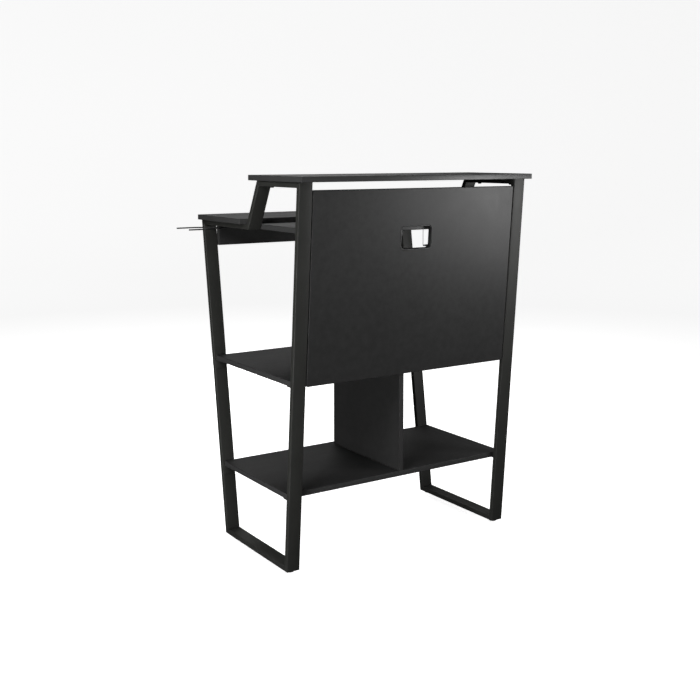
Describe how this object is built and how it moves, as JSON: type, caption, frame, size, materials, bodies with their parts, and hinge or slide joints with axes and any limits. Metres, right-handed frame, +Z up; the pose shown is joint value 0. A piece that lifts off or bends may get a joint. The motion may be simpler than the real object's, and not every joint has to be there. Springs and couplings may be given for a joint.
{
  "type": "drafting table",
  "caption": "Tall standing work table with leaning tube side frames, raised shelf over the work surface, back panel with cable hole, storage shelves, headphone hook and cup holder.",
  "frame": {"origin": "middle of the object's outline in plan, at the floor", "axes": "+X to the user's right, +Y towards the back panel, +Z up"},
  "size_m": [0.974, 0.5993, 1.0745],
  "materials": {
    "frame_paint": "black powder coat, fine texture, satin",
    "board_laminate": "black melamine laminate on particle board, satin",
    "black_plastic": "moulded, matt",
    "accessory_paint": "black powder coat, satin",
    "black_screw": "black zinc plate, satin",
    "zinc_steel": "zinc plate",
    "insert_brass": "machined",
    "dowel_wood": "plain beech"
  },
  "bodies": {
    "table": {"right_runner": "frame_paint", "right_front_leg": "frame_paint", "right_side_rail": "frame_paint", "right_riser_post": "frame_paint", "right_top_rail": "frame_paint", "right_rear_leg": "frame_paint", "left_runner": "frame_paint", "left_front_leg": "frame_paint", "left_side_rail": "frame_paint", "left_riser_post": "frame_paint", "left_top_rail": "frame_paint", "left_rear_leg": "frame_paint", "top_shelf": "board_laminate", "work_surface": "board_laminate", "deck_board": "board_laminate", "front_apron": "board_laminate", "middle_shelf": "board_laminate", "lower_shelf": "board_laminate", "divider": "board_laminate", "back_panel": "board_laminate", "cable_grommet": "black_plastic", "lower_shelf_tabs": "frame_paint", "middle_shelf_tabs": "frame_paint", "deck_tabs": "frame_paint", "panel_tabs": "frame_paint", "deck_angles": "accessory_paint", "lower_shelf_screws": "black_screw", "middle_shelf_screws": "black_screw", "deck_screws": "black_screw", "panel_screws": "black_screw", "apron_screws": "black_screw", "divider_screws": "black_screw", "divider_dowels": "dowel_wood", "apron_dowels": "dowel_wood", "top_shelf_bolts": "black_screw", "top_shelf_inserts": "insert_brass", "work_surface_bolts": "black_screw", "work_surface_inserts": "insert_brass", "glide_nuts": "zinc_steel", "headphone_hook": "accessory_paint", "hook_plate": "accessory_paint", "hook_screws": "black_screw", "cup_ring": "accessory_paint", "cup_straps": "accessory_paint", "cup_base": "accessory_paint", "cup_arm": "accessory_paint", "cup_screws": "black_screw"},
    "front_right_glide": {"front_right_pad": "black_plastic", "front_right_stud": "zinc_steel"},
    "rear_right_glide": {"rear_right_pad": "black_plastic", "rear_right_stud": "zinc_steel"},
    "front_left_glide": {"front_left_pad": "black_plastic", "front_left_stud": "zinc_steel"},
    "rear_left_glide": {"rear_left_pad": "black_plastic", "rear_left_stud": "zinc_steel"}
  },
  "joints": [
    {"name": "front_right_glide_screw", "type": "slide", "parent": "table", "child": "front_right_glide", "axis": [0, 0, -1], "range_m": [0, 0.007]},
    {"name": "rear_right_glide_screw", "type": "slide", "parent": "table", "child": "rear_right_glide", "axis": [0, 0, -1], "range_m": [0, 0.007]},
    {"name": "front_left_glide_screw", "type": "slide", "parent": "table", "child": "front_left_glide", "axis": [0, 0, -1], "range_m": [0, 0.007]},
    {"name": "rear_left_glide_screw", "type": "slide", "parent": "table", "child": "rear_left_glide", "axis": [0, 0, -1], "range_m": [0, 0.007]}
  ]
}
